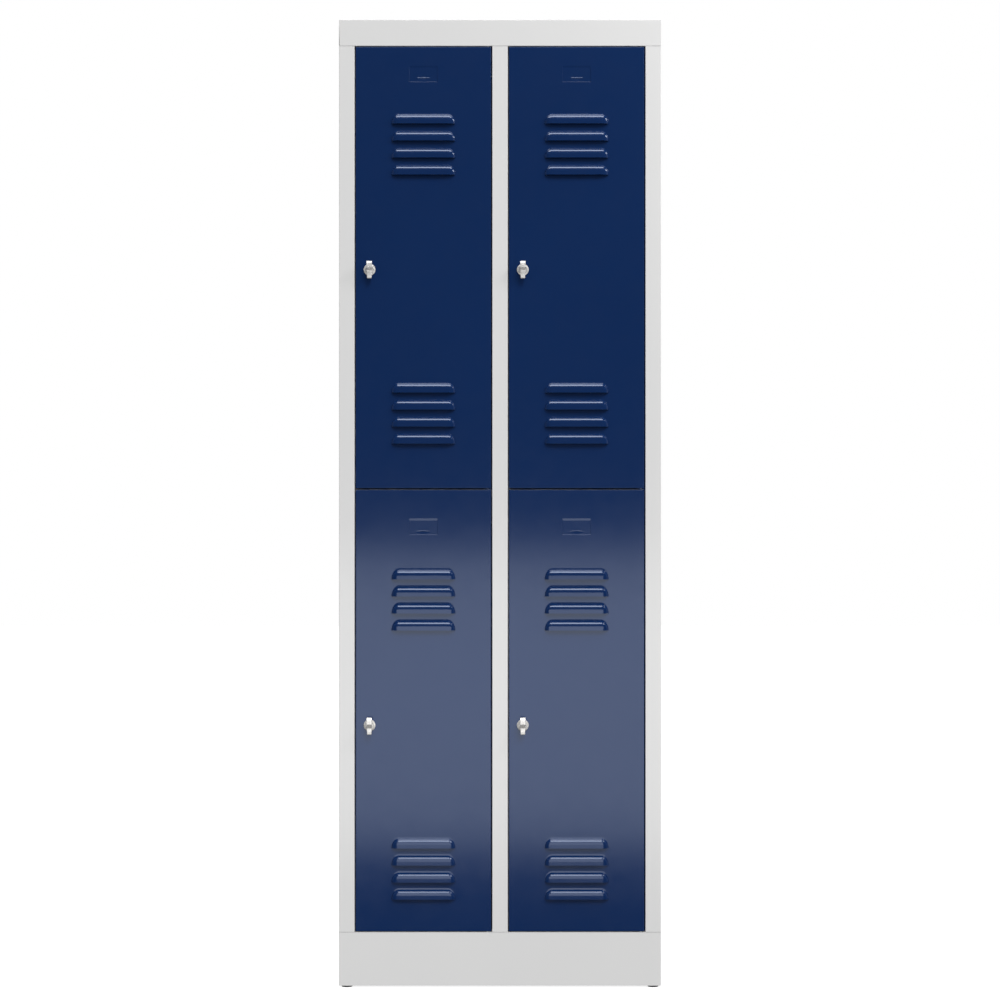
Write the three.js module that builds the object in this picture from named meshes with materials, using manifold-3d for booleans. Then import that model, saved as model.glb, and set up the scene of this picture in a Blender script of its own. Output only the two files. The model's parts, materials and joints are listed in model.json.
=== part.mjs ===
// Four-door steel locker cabinet: two columns of two lockers, in folded sheet steel.
// Units are millimetres. +Z is up and the doors face -Y.
// Inside the cabinet group, y is the depth behind the front face and z the height above the body's foot.

import * as THREE from "three";
import { mergeVertices } from "three/addons/utils/BufferGeometryUtils.js";
import Module from "manifold-3d";

const wasm = await Module();
wasm.setup();

// ---- Driving dimensions -------------------------------------------------------------------

const WIDTH = 600;
const DEPTH = 500;
const HEIGHT = 1800;
const LATCH_PROUD = 21;
const GLIDE_HEIGHT = 3;
const GLIDE_RADIUS = 10;

const SHEET = 1;
const BEND_RADIUS = 2;
const GAP = 0.3;

const FASCIA_HEIGHT = 49;
const PLINTH_HEIGHT = 100;
const STILE_WIDTH = 29;
const FRAME_RETURN = 18;
const STOP_LIP = 6;
const STOP_CLEARANCE = 0.6;
const REAR_FLANGE = 25;

const DOOR_DEPTH = 18;
const DOOR_SIDE_GAP = 2;
const DOOR_END_GAP = 1.5;
const DOOR_MEETING_GAP = 3;
const DOOR_EDGE_RADIUS = 1.5;
const DOOR_LIP = 10;

const HINGE_INSET = 6;
const HINGE_DEPTH = 5.2;
const PIN_RADIUS = 2.5;
const PIN_HEAD_RADIUS = 3.6;
const PIN_REACH = 10;
const BUSH_RADIUS = 3.9;
const BUSH_NECK_RADIUS = 3.4;
const BUSH_LENGTH = 7;
const BUSH_PROUD = 0.4;
const PIVOT_PLATE = 1.5;

const LOUVRE_WIDTH = 119;
const LOUVRE_HEIGHT = 20.4;
const LOUVRE_PROUD = 7;
const LOUVRE_PITCH = 31.7;
const LOUVRES_PER_GROUP = 4;
const LOUVRE_CORNER_WIDTH = 14;

const LABEL_WIDTH = 54;
const LABEL_HEIGHT = 32;
const LABEL_RECESS = 0.6;
const SCOOP_WIDTH = 28;
const SCOOP_HEIGHT = 5;
const SCOOP_DEPTH = 1;
const SCOOP_TOP = 7;

const LATCH_INSET = 26;
const ROSETTE_RADIUS = 11;
const BARREL_RADIUS = 6.5;
const SPINDLE_RADIUS = 3.5;
const LEVER_WIDTH = 10;
const LEVER_ABOVE = 15;
const LEVER_BELOW = 17;
const PADLOCK_EYE_RADIUS = 3.6;
const CAM_DEPTH = 21.2;
const CAM_THICKNESS = 2.4;
const CAM_LENGTH = 36;
const CAM_WIDTH = 16;

// Heights above the body's foot of the features on the upper doors. The lower doors repeat them further down.
const UPPER_LABEL = 1698.5;
const UPPER_LATCH = 1334;
const UPPER_LOUVRE_GROUPS = [1605.8, 1105];
const LOWER_DOOR_DROP = 848.7;
const LOWER_LABEL_DROP = 844;

const RAIL_RADIUS = 8;
const RAIL_FLANGE_RADIUS = 15;
const RAIL_DROP = 64;

// ---- Derived places -----------------------------------------------------------------------

const OPENING_BOTTOM = PLINTH_HEIGHT;
const OPENING_TOP = HEIGHT - FASCIA_HEIGHT;
const DOOR_HEIGHT = (OPENING_TOP - OPENING_BOTTOM - 2 * DOOR_END_GAP - DOOR_MEETING_GAP) / 2;
const LOWER_DOOR_BOTTOM = OPENING_BOTTOM + DOOR_END_GAP;
const UPPER_DOOR_BOTTOM = LOWER_DOOR_BOTTOM + DOOR_HEIGHT + DOOR_MEETING_GAP;
const MEETING_HEIGHT = UPPER_DOOR_BOTTOM - DOOR_MEETING_GAP / 2;
const OPENING_WIDTH = (WIDTH - 3 * STILE_WIDTH) / 2;
const DOOR_WIDTH = OPENING_WIDTH - 2 * DOOR_SIDE_GAP;
const COLUMN_CENTRE = STILE_WIDTH / 2 + OPENING_WIDTH / 2;
const BACK_FRONT_FACE = DEPTH - 2 * SHEET - GAP;
const LIP_FACE = DOOR_DEPTH + STOP_CLEARANCE;
const SHELF_FRONT = CAM_DEPTH + CAM_THICKNESS + 3;

// ---- Materials ----------------------------------------------------------------------------

const grey = new THREE.MeshStandardMaterial({ color: "#d6d8da", roughness: 0.45, metalness: 0 });
const blue = new THREE.MeshStandardMaterial({ color: "#13294f", roughness: 0.35, metalness: 0 });
const zinc = new THREE.MeshStandardMaterial({ color: "#c9ccd0", roughness: 0.25, metalness: 1 });
const nylon = new THREE.MeshStandardMaterial({ color: "#e9e7e0", roughness: 0.5, metalness: 0 });
const black = new THREE.MeshStandardMaterial({ color: "#151515", roughness: 0.6, metalness: 0 });

// ---- Solids -------------------------------------------------------------------------------

function solid(geometry) {
  const bare = geometry.clone();
  bare.deleteAttribute("normal");
  bare.deleteAttribute("uv");
  const merged = mergeVertices(bare, 1e-3);
  const triVerts = new Uint32Array(merged.index.array);
  const vertProperties = new Float32Array(merged.attributes.position.array);
  return new wasm.Manifold(new wasm.Mesh({ numProp: 3, vertProperties, triVerts }));
}

function geometryOf(manifold) {
  const mesh = manifold.getMesh();
  const geometry = new THREE.BufferGeometry();
  geometry.setAttribute("position", new THREE.BufferAttribute(mesh.vertProperties, 3));
  geometry.setIndex(new THREE.BufferAttribute(mesh.triVerts, 1));
  return geometry;
}

function piece(name, shape, material) {
  const geometry = shape instanceof THREE.BufferGeometry ? shape : geometryOf(shape);
  const mesh = new THREE.Mesh(geometry, material);
  mesh.name = name;
  return mesh;
}

function join(...solids) {
  return solids.reduce((sum, next) => sum.add(next));
}

function boxBetween([x0, x1], [y0, y1], [z0, z1]) {
  const box = new THREE.BoxGeometry(x1 - x0, y1 - y0, z1 - z0);
  box.translate((x0 + x1) / 2, (y0 + y1) / 2, (z0 + z1) / 2);
  return solid(box);
}

function extrusion(shape, length) {
  return new THREE.ExtrudeGeometry(shape, { depth: length, bevelEnabled: false, curveSegments: 3 });
}

// A plan outline (x, y) carried up from z0 to z1.
function extrudeUp(shape, [z0, z1]) {
  return solid(extrusion(shape, z1 - z0).translate(0, 0, z0));
}

// A side outline (y, z) carried across from x0 to x1.
function extrudeAcross(shape, [x0, x1]) {
  const axes = new THREE.Matrix4().makeBasis(
    new THREE.Vector3(0, 1, 0),
    new THREE.Vector3(0, 0, 1),
    new THREE.Vector3(1, 0, 0),
  );
  return solid(extrusion(shape, x1 - x0).applyMatrix4(axes).translate(x0, 0, 0));
}

// A front outline (x, z) carried back from y0 to y1.
function extrudeBack(shape, [y0, y1]) {
  const axes = new THREE.Matrix4().makeBasis(
    new THREE.Vector3(1, 0, 0),
    new THREE.Vector3(0, 0, 1),
    new THREE.Vector3(0, -1, 0),
  );
  return solid(extrusion(shape, y1 - y0).applyMatrix4(axes).translate(0, y1, 0));
}

function rodUp(radius, [x, y], [z0, z1], sides = 12) {
  const rod = new THREE.CylinderGeometry(radius, radius, z1 - z0, sides);
  return solid(rod.rotateX(Math.PI / 2).translate(x, y, (z0 + z1) / 2));
}

function rodBack(radius, [x, z], [y0, y1], sides = 16) {
  const rod = new THREE.CylinderGeometry(radius, radius, y1 - y0, sides);
  return solid(rod.translate(x, (y0 + y1) / 2, z));
}

function rodAcross(radius, [y, z], [x0, x1], sides = 12) {
  const rod = new THREE.CylinderGeometry(radius, radius, x1 - x0, sides);
  return solid(rod.rotateZ(Math.PI / 2).translate((x0 + x1) / 2, y, z));
}

// Points of a polyline with each inner corner turned into an arc.
function roundCorners(points, radius, steps = 2) {
  const corners = points.map(([x, y]) => new THREE.Vector2(x, y));
  return corners.flatMap((corner, i) => {
    if (i === 0 || i === corners.length - 1) return [corner];
    const back = corners[i - 1].clone().sub(corner).normalize();
    const on = corners[i + 1].clone().sub(corner).normalize();
    const half = Math.acos(back.dot(on)) / 2;
    const toCentre = back.clone().add(on).normalize();
    const centre = corner.clone().addScaledVector(toCentre, radius / Math.sin(half));
    const start = corner.clone().addScaledVector(back, radius / Math.tan(half)).sub(centre);
    const turn = Math.PI - 2 * half;
    const sense = Math.sign(back.cross(on)) * -1;
    return Array.from({ length: steps + 1 }, (_, k) =>
      start.clone().rotateAround(new THREE.Vector2(), (sense * turn * k) / steps).add(centre),
    );
  });
}

// Sheet metal bent along a path of its outer face; the metal lies to the right of the path.
function foldedSheet(path, thickness = SHEET, radius = BEND_RADIUS) {
  const outer = roundCorners(path, radius);
  const inner = outer.map((point, i) => {
    const before = outer[Math.max(i - 1, 0)];
    const after = outer[Math.min(i + 1, outer.length - 1)];
    const inDirection = (i === 0 ? after.clone().sub(point) : point.clone().sub(before)).normalize();
    const outDirection = (i === outer.length - 1 ? inDirection : after.clone().sub(point)).clone();
    outDirection.normalize();
    const inNormal = new THREE.Vector2(inDirection.y, -inDirection.x);
    const outNormal = new THREE.Vector2(outDirection.y, -outDirection.x);
    const mitre = inNormal.clone().add(outNormal).normalize();
    return point.clone().addScaledVector(mitre, thickness / mitre.dot(inNormal));
  });
  return new THREE.Shape([...outer, ...inner.reverse()]);
}

function shapeOf(points) {
  return new THREE.Shape(points.map(([x, y]) => new THREE.Vector2(x, y)));
}

// ---- Cabinet body -------------------------------------------------------------------------

const hingePlace = (columnCentre) => [
  columnCentre + DOOR_WIDTH / 2 - HINGE_INSET,
  HINGE_DEPTH,
];
const hingePlaces = [-COLUMN_CENTRE, COLUMN_CENTRE].map(hingePlace);

// Slot in a frame return that a middle pivot plate passes through.
function pivotSlot(columnCentre) {
  const edge = columnCentre + OPENING_WIDTH / 2;
  const halfHeight = PIVOT_PLATE / 2 + GAP;
  return boxBetween(
    [edge - 1, edge + BEND_RADIUS + SHEET],
    [BEND_RADIUS + SHEET - GAP, FRAME_RETURN - 3 + GAP],
    [MEETING_HEIGHT - halfHeight, MEETING_HEIGHT + halfHeight],
  );
}

const frameSpan = [PLINTH_HEIGHT + GAP, OPENING_TOP - GAP];

function leftSidePanel() {
  const side = -WIDTH / 2;
  const returnFace = side + STILE_WIDTH;
  const plan = foldedSheet([
    [returnFace + STOP_LIP, LIP_FACE],
    [returnFace, LIP_FACE],
    [returnFace, 0],
    [side, 0],
    [side, DEPTH],
    [side + REAR_FLANGE, DEPTH],
  ]);
  return extrudeUp(plan, frameSpan);
}

function rightSidePanel() {
  const side = WIDTH / 2;
  const plan = foldedSheet([
    [side - REAR_FLANGE, DEPTH],
    [side, DEPTH],
    [side, 0],
    [side - STILE_WIDTH, 0],
    [side - STILE_WIDTH, FRAME_RETURN],
  ]);
  return extrudeUp(plan, frameSpan).subtract(pivotSlot(COLUMN_CENTRE));
}

function centreMullion() {
  const half = STILE_WIDTH / 2;
  const plan = foldedSheet([
    [half + STOP_LIP, LIP_FACE],
    [half, LIP_FACE],
    [half, 0],
    [-half, 0],
    [-half, FRAME_RETURN],
  ]);
  return extrudeUp(plan, frameSpan).subtract(pivotSlot(-COLUMN_CENTRE));
}

function centrePartition() {
  const plan = foldedSheet([
    [-SHEET / 2, SHEET + GAP],
    [-SHEET / 2, BACK_FRONT_FACE - GAP],
    [REAR_FLANGE, BACK_FRONT_FACE - GAP],
  ]);
  return extrudeUp(plan, frameSpan);
}

function backPanel() {
  const reach = WIDTH / 2 - SHEET - BEND_RADIUS;
  const rearFace = BACK_FRONT_FACE + SHEET;
  return boxBetween([-reach, reach], [BACK_FRONT_FACE, rearFace], frameSpan);
}

// Cap tray: top sheet with four deep edges, and a return below the front one that carries the top pins.
function roofPanel() {
  const side = WIDTH / 2;
  const outline = new THREE.Shape(
    roundCorners(
      [
        [FRAME_RETURN, OPENING_TOP],
        [0, OPENING_TOP],
        [0, HEIGHT],
        [DEPTH, HEIGHT],
        [DEPTH, OPENING_TOP],
      ],
      BEND_RADIUS,
    ),
  );
  const hollow = shapeOf([
    [SHEET, OPENING_TOP + SHEET],
    [FRAME_RETURN, OPENING_TOP + SHEET],
    [FRAME_RETURN, OPENING_TOP - 1],
    [DEPTH - SHEET, OPENING_TOP - 1],
    [DEPTH - SHEET, HEIGHT - SHEET],
    [SHEET, HEIGHT - SHEET],
  ]);
  const pinHoles = hingePlaces.map((place) =>
    rodUp(PIN_RADIUS + GAP, place, [OPENING_TOP - 1, OPENING_TOP + SHEET + 1]),
  );
  const inside = extrudeAcross(hollow, [-side + SHEET, side - SHEET]);
  return extrudeAcross(outline, [-side, side]).subtract(join(inside, ...pinHoles));
}

function floorPanel() {
  const side = WIDTH / 2;
  const foldFace = side - SHEET - GAP;
  const sheet = boxBetween([-side, side], [0, DEPTH], [PLINTH_HEIGHT - SHEET, PLINTH_HEIGHT]);
  const folds = [-foldFace, foldFace - SHEET].map((x) =>
    boxBetween([x, x + SHEET], [30, DEPTH - 30], [PLINTH_HEIGHT - 25, PLINTH_HEIGHT - SHEET / 2]),
  );
  const pinHoles = hingePlaces.map((place) =>
    rodUp(PIN_RADIUS + GAP, place, [PLINTH_HEIGHT - SHEET - 1, PLINTH_HEIGHT + 1]),
  );
  return join(sheet, ...folds).subtract(join(...pinHoles));
}

const PLINTH_TOP = PLINTH_HEIGHT - SHEET - GAP;
const PLINTH_LIP = 25;
const GLIDE_INSET = 14.5;
const GLIDE_SETBACK = 10.5;
const GLIDE_STEM_RADIUS = 4;
const glidePlaces = {
  front_left: [-WIDTH / 2 + GLIDE_INSET, GLIDE_SETBACK],
  front_right: [WIDTH / 2 - GLIDE_INSET, GLIDE_SETBACK],
  rear_left: [-WIDTH / 2 + GLIDE_INSET, DEPTH - GLIDE_SETBACK],
  rear_right: [WIDTH / 2 - GLIDE_INSET, DEPTH - GLIDE_SETBACK],
};

function glideHoles() {
  const holes = Object.values(glidePlaces).map((place) =>
    rodUp(GLIDE_STEM_RADIUS + GAP, place, [-1, SHEET + 1]),
  );
  return join(...holes);
}

function plinthFrame() {
  const side = WIDTH / 2;
  const sideEnd = DEPTH - PLINTH_LIP - GAP;
  const plan = foldedSheet([
    [side, DEPTH],
    [side, 0],
    [-side, 0],
    [-side, DEPTH],
  ]);
  const lips = [
    boxBetween([-side + SHEET / 2, side - SHEET / 2], [SHEET / 2, PLINTH_LIP], [0, SHEET]),
    boxBetween([-side + SHEET / 2, -side + PLINTH_LIP], [PLINTH_LIP / 2, sideEnd], [0, SHEET]),
    boxBetween([side - PLINTH_LIP, side - SHEET / 2], [PLINTH_LIP / 2, sideEnd], [0, SHEET]),
  ];
  return join(extrudeUp(plan, [0, PLINTH_TOP]), ...lips).subtract(glideHoles());
}

function plinthRearRail() {
  const reach = WIDTH / 2 - SHEET - GAP;
  const profile = foldedSheet([
    [DEPTH - PLINTH_LIP, PLINTH_TOP],
    [DEPTH, PLINTH_TOP],
    [DEPTH, 0],
    [DEPTH - PLINTH_LIP, 0],
  ]);
  return extrudeAcross(profile, [-reach, reach]).subtract(glideHoles());
}

function glide([x, y]) {
  const profile = [
    [0, -GLIDE_HEIGHT],
    [GLIDE_RADIUS, -GLIDE_HEIGHT],
    [GLIDE_RADIUS, -GAP],
    [GLIDE_STEM_RADIUS, -GAP],
    [GLIDE_STEM_RADIUS, SHEET + GAP],
    [GLIDE_STEM_RADIUS + 1, SHEET + GAP + 0.8],
    [GLIDE_STEM_RADIUS - 1, SHEET + 6],
    [0, SHEET + 6],
  ];
  const lathe = new THREE.LatheGeometry(profile.map(([r, z]) => new THREE.Vector2(r, z)), 16);
  return solid(lathe.rotateX(Math.PI / 2).translate(x, y, 0));
}

// The shelf that parts an upper locker from a lower one, folded down at front and back.
function dividingShelf([x0, x1]) {
  const rear = BACK_FRONT_FACE - 2 * SHEET;
  const profile = foldedSheet([
    [SHELF_FRONT + 14, MEETING_HEIGHT - 16],
    [SHELF_FRONT, MEETING_HEIGHT - 16],
    [SHELF_FRONT, MEETING_HEIGHT],
    [rear, MEETING_HEIGHT],
    [rear, MEETING_HEIGHT - 16],
  ]);
  return extrudeAcross(profile, [x0, x1]);
}

// Tube with a pressed flange at each end, laid across a locker below its ceiling.
function coatRail([x0, x1], height) {
  const length = x1 - x0;
  const flange = 2;
  const bore = RAIL_RADIUS - SHEET;
  const profile = [
    [bore, 0],
    [RAIL_FLANGE_RADIUS, 0],
    [RAIL_FLANGE_RADIUS, flange],
    [RAIL_RADIUS, flange],
    [RAIL_RADIUS, length - flange],
    [RAIL_FLANGE_RADIUS, length - flange],
    [RAIL_FLANGE_RADIUS, length],
    [bore, length],
    [bore, 0],
  ];
  const lathe = new THREE.LatheGeometry(profile.map(([r, h]) => new THREE.Vector2(r, h)), 14);
  return solid(lathe.rotateZ(-Math.PI / 2).translate(x0, DEPTH / 2, height));
}

// ---- Hinges -------------------------------------------------------------------------------

function endPin(place, sheetFace, direction) {
  const head = [sheetFace - direction * (SHEET + GAP), sheetFace - direction * (SHEET + GAP + 2)];
  const tip = sheetFace + direction * (DOOR_END_GAP + PIN_REACH);
  const ordered = (a, b) => [Math.min(a, b), Math.max(a, b)];
  return join(
    rodUp(PIN_RADIUS, place, ordered(head[1], tip)),
    rodUp(PIN_HEAD_RADIUS, place, ordered(head[0], head[1])),
  );
}

function middlePin(place) {
  const reach = DOOR_MEETING_GAP / 2 + PIN_REACH;
  return rodUp(PIN_RADIUS, place, [MEETING_HEIGHT - reach, MEETING_HEIGHT + reach]);
}

// Tongue between the upper and lower doors, with a tail turned down inside the frame.
function pivotPlate([x, y]) {
  const frameFace = x + HINGE_INSET + DOOR_SIDE_GAP;
  const half = PIVOT_PLATE / 2;
  const tail = frameFace + BEND_RADIUS + SHEET;
  const depths = [BEND_RADIUS + SHEET, FRAME_RETURN - 3];
  const heights = [MEETING_HEIGHT - half, MEETING_HEIGHT + half];
  const tongue = boxBetween([x - 5, tail + PIVOT_PLATE], depths, heights);
  const nose = boxBetween([x - 5, frameFace - 1], [1, depths[1]], heights);
  const turned = boxBetween([tail, tail + PIVOT_PLATE], depths, [MEETING_HEIGHT - 22, MEETING_HEIGHT]);
  const hole = rodUp(PIN_RADIUS + GAP, [x, y], [MEETING_HEIGHT - 2, MEETING_HEIGHT + 2]);
  return join(tongue, nose, turned).subtract(hole);
}

// ---- Doors --------------------------------------------------------------------------------
// A door group has its origin at the middle of the door's bottom edge, on the front face.

const HINGE_X = DOOR_WIDTH / 2 - HINGE_INSET;
const LATCH_X = -DOOR_WIDTH / 2 + LATCH_INSET;

// Side outline of a louvre's hood, from its lip at height 0 up to where it leaves the sheet.
const hoodOutside = shapeOf([
  [0.2, 0],
  [-LOUVRE_PROUD, 0],
  [-6.9, 6],
  [-6.1, 11.2],
  [-2.7, 15.8],
  [-1.6, 17],
  [0.2, LOUVRE_HEIGHT],
]);
const hoodInside = shapeOf([
  [-GAP, -GAP],
  [-LOUVRE_PROUD + SHEET, -GAP],
  [-5.9, 5.8],
  [-5.1, 10.7],
  [-1.9, 15.1],
  [-0.7, 16.5],
  [0, 17.9],
  [SHEET + GAP, 17.9],
  [SHEET + GAP, 0],
  [-GAP, 0],
]);

// Front outline of a louvre: straight foot, upper corners falling away as quarter ellipses.
function hoodFront(inset, foot) {
  const half = LOUVRE_WIDTH / 2 - inset;
  const flat = half - LOUVRE_CORNER_WIDTH;
  const top = LOUVRE_HEIGHT + 0.5 - inset;
  const outline = new THREE.Shape();
  outline.moveTo(-half, foot);
  outline.lineTo(half, foot);
  outline.lineTo(half, 0);
  outline.absellipse(flat, 0, LOUVRE_CORNER_WIDTH, top, 0, Math.PI / 2, false);
  outline.lineTo(-flat, top);
  outline.absellipse(-flat, 0, LOUVRE_CORNER_WIDTH, top, Math.PI / 2, Math.PI, false);
  return outline;
}

function louvreOutside(lipHeight) {
  const across = [-LOUVRE_WIDTH, LOUVRE_WIDTH];
  const hood = extrudeAcross(hoodOutside, across);
  const front = extrudeBack(hoodFront(0, -0.5), [-LOUVRE_PROUD - 1, SHEET]);
  return hood.intersect(front).translate([0, 0, lipHeight]);
}

function louvreInside(lipHeight) {
  const across = [-LOUVRE_WIDTH, LOUVRE_WIDTH];
  const hood = extrudeAcross(hoodInside, across);
  const front = extrudeBack(hoodFront(SHEET, -0.5), [-LOUVRE_PROUD - 1, SHEET + 1]);
  return hood.intersect(front).translate([0, 0, lipHeight]);
}

// Folded tray: front sheet, four returns and a lip along both long edges.
function doorTray() {
  const half = DOOR_WIDTH / 2;
  const side = [0, DOOR_HEIGHT];
  const edge = DOOR_EDGE_RADIUS;
  const plan = new THREE.Shape(
    roundCorners([[-half, DOOR_DEPTH], [-half, 0], [half, 0], [half, DOOR_DEPTH]], edge),
  );
  const hollowPlan = new THREE.Shape(
    roundCorners(
      [
        [-half + SHEET, DOOR_DEPTH - SHEET],
        [-half + SHEET, SHEET],
        [half - SHEET, SHEET],
        [half - SHEET, DOOR_DEPTH - SHEET],
      ],
      edge - SHEET,
    ),
  );
  const within = [SHEET, DOOR_HEIGHT - SHEET];
  const mouth = boxBetween([-half + DOOR_LIP, half - DOOR_LIP], [DOOR_DEPTH - 2, DOOR_DEPTH + 1], within);
  return extrudeUp(plan, side).subtract(join(extrudeUp(hollowPlan, within), mouth));
}

function scoopSpan(centre) {
  const top = centre - LABEL_HEIGHT / 2 + SCOOP_TOP;
  return [top - SCOOP_HEIGHT, top];
}

function labelPocketBack(centre) {
  const half = [LABEL_WIDTH / 2 + SHEET, LABEL_HEIGHT / 2 + SHEET];
  const [low, top] = scoopSpan(centre);
  return join(
    boxBetween(
      [-half[0], half[0]],
      [SHEET / 2, LABEL_RECESS + SHEET],
      [centre - half[1], centre + half[1]],
    ),
    boxBetween(
      [-SCOOP_WIDTH / 2 - SHEET, SCOOP_WIDTH / 2 + SHEET],
      [SHEET / 2, LABEL_RECESS + SCOOP_DEPTH + SHEET],
      [low - SHEET, top + SHEET],
    ),
  );
}

// Half-moon pressed into the pocket's floor: deepest along its straight top edge, ramping out below.
function thumbScoop(centre) {
  const [low, top] = scoopSpan(centre);
  const moon = new THREE.Shape();
  moon.moveTo(SCOOP_WIDTH / 2, top);
  moon.lineTo(-SCOOP_WIDTH / 2, top);
  moon.absellipse(0, top, SCOOP_WIDTH / 2, SCOOP_HEIGHT, Math.PI, 2 * Math.PI, false);
  const ramp = shapeOf([
    [0, low],
    [LABEL_RECESS, low],
    [LABEL_RECESS + SCOOP_DEPTH, top],
    [0, top],
  ]);
  const cut = extrudeBack(moon, [0, LABEL_RECESS + SCOOP_DEPTH + 1]);
  return extrudeAcross(ramp, [-SCOOP_WIDTH, SCOOP_WIDTH]).intersect(cut);
}

function labelPocketRecess(centre) {
  const pocket = boxBetween(
    [-LABEL_WIDTH / 2, LABEL_WIDTH / 2],
    [-1, LABEL_RECESS],
    [centre - LABEL_HEIGHT / 2, centre + LABEL_HEIGHT / 2],
  );
  return join(pocket, thumbScoop(centre));
}

function doorPanel({ louvres, label, latch }) {
  const ends = [
    [-1, SHEET + 1],
    [DOOR_HEIGHT - SHEET - 1, DOOR_HEIGHT + 1],
  ];
  const bushHoles = ends.map((span) => rodUp(BUSH_NECK_RADIUS + GAP, [HINGE_X, HINGE_DEPTH], span));
  const latchHole = rodBack(BARREL_RADIUS + GAP, [LATCH_X, latch], [-1, SHEET + 1]);
  const pressed = join(doorTray(), ...louvres.map(louvreOutside), labelPocketBack(label));
  const removed = join(
    ...louvres.map(louvreInside),
    labelPocketRecess(label),
    latchHole,
    ...bushHoles,
  );
  return pressed.subtract(removed);
}

// Top-hat section welded behind the door between the louvres and the hinge edge.
function doorStiffener() {
  const centre = 95;
  const hat = 11;
  const sole = 8;
  const foot = 2 * SHEET + GAP;
  const crown = DOOR_DEPTH - 4;
  const plan = foldedSheet([
    [centre - hat - sole, foot],
    [centre - hat, foot],
    [centre - hat, crown],
    [centre + hat, crown],
    [centre + hat, foot],
    [centre + hat + sole, foot],
  ]);
  return extrudeUp(plan, [40, DOOR_HEIGHT - 40]);
}

// Nylon bush: a neck through the door's edge and a body inside the tray. End is 0 at the foot, 1 at the head.
function hingeBush(end) {
  const place = [HINGE_X, HINGE_DEPTH];
  const upright = [
    rodUp(BUSH_NECK_RADIUS, place, [-BUSH_PROUD, SHEET + GAP + 0.5]),
    rodUp(BUSH_RADIUS, place, [SHEET + GAP, SHEET + GAP + BUSH_LENGTH]),
  ];
  const bore = rodUp(PIN_RADIUS + 0.2, place, [-2, SHEET + BUSH_LENGTH + 4]);
  const bush = join(...upright).subtract(bore);
  return end ? bush.scale([1, 1, -1]).translate([0, 0, DOOR_HEIGHT]) : bush;
}

// Rosette, threaded barrel and bore in one turned body.
function latchBody(height) {
  const profile = [
    [SPINDLE_RADIUS + GAP, -3],
    [ROSETTE_RADIUS - 2, -3],
    [ROSETTE_RADIUS, -1.6],
    [ROSETTE_RADIUS, -GAP],
    [BARREL_RADIUS, -GAP],
    [BARREL_RADIUS, DOOR_DEPTH - 1],
    [SPINDLE_RADIUS + GAP, DOOR_DEPTH - 1],
    [SPINDLE_RADIUS + GAP, -3],
  ];
  const lathe = new THREE.LatheGeometry(profile.map(([r, y]) => new THREE.Vector2(r, y)), 20);
  return solid(lathe.translate(LATCH_X, 0, height));
}

function latchNut(height) {
  const across = 10.4;
  const nut = rodBack(across, [LATCH_X, height], [SHEET + GAP, SHEET + GAP + 4], 6);
  return nut.subtract(rodBack(BARREL_RADIUS + GAP, [LATCH_X, height], [0, 8]));
}

// Turning lever with the padlock eye above its pivot, on a spindle peened over behind the cam.
function latchLever(height) {
  const half = LEVER_WIDTH / 2;
  const foot = -3 - GAP;
  const side = shapeOf([
    [foot, -LEVER_BELOW + 1.5],
    [foot - 7, -LEVER_BELOW],
    [foot - 9.5, -LEVER_BELOW + 2],
    [foot - 9.5, -4],
    [-LATCH_PROUD, 2],
    [-LATCH_PROUD, LEVER_ABOVE - 2],
    [-LATCH_PROUD + 2, LEVER_ABOVE],
    [foot - 4, LEVER_ABOVE],
    [foot - 4, 3],
    [foot, 0],
  ]);
  const blade = extrudeAcross(side, [LATCH_X - half, LATCH_X + half]).translate([0, 0, height]);
  const hub = rodBack(half, [LATCH_X, height], [foot - 6, foot]);
  const spindle = rodBack(SPINDLE_RADIUS, [LATCH_X, height], [foot - 2, CAM_DEPTH + CAM_THICKNESS + 0.5]);
  const peened = rodBack(
    SPINDLE_RADIUS + 1.3,
    [LATCH_X, height],
    [CAM_DEPTH + CAM_THICKNESS + GAP, CAM_DEPTH + CAM_THICKNESS + GAP + 1.6],
  );
  const eye = rodAcross(
    PADLOCK_EYE_RADIUS,
    [-LATCH_PROUD + 2.4 + PADLOCK_EYE_RADIUS, height + 7.5],
    [LATCH_X - LEVER_WIDTH, LATCH_X + LEVER_WIDTH],
  );
  return join(blade, hub, spindle, peened).subtract(eye);
}

// Flat cam, hanging below the spindle until a quarter turn sends it behind the frame.
function latchCam(height) {
  const half = CAM_WIDTH / 2;
  const outline = new THREE.Shape();
  outline.absarc(0, 0, half, 0, Math.PI, false);
  outline.lineTo(-half + 2, -CAM_LENGTH + 3);
  outline.lineTo(-half + 5, -CAM_LENGTH);
  outline.lineTo(half - 5, -CAM_LENGTH);
  outline.lineTo(half - 2, -CAM_LENGTH + 3);
  const blade = extrudeBack(outline, [CAM_DEPTH, CAM_DEPTH + CAM_THICKNESS]);
  const hole = rodBack(SPINDLE_RADIUS + GAP, [0, 0], [CAM_DEPTH - 1, CAM_DEPTH + CAM_THICKNESS + 1]);
  return blade.subtract(hole).translate([LATCH_X, 0, height]);
}

function lockerDoor(name, features) {
  const group = new THREE.Group();
  group.add(
    piece(`door_panel_${name}`, doorPanel(features), blue),
    piece(`door_stiffener_${name}`, doorStiffener(), blue),
    piece(`hinge_bush_bottom_${name}`, hingeBush(0), nylon),
    piece(`hinge_bush_top_${name}`, hingeBush(1), nylon),
    piece(`latch_body_${name}`, latchBody(features.latch), zinc),
    piece(`latch_nut_${name}`, latchNut(features.latch), zinc),
    piece(`latch_lever_${name}`, latchLever(features.latch), zinc),
    piece(`latch_cam_${name}`, latchCam(features.latch), zinc),
  );
  return group;
}

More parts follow.
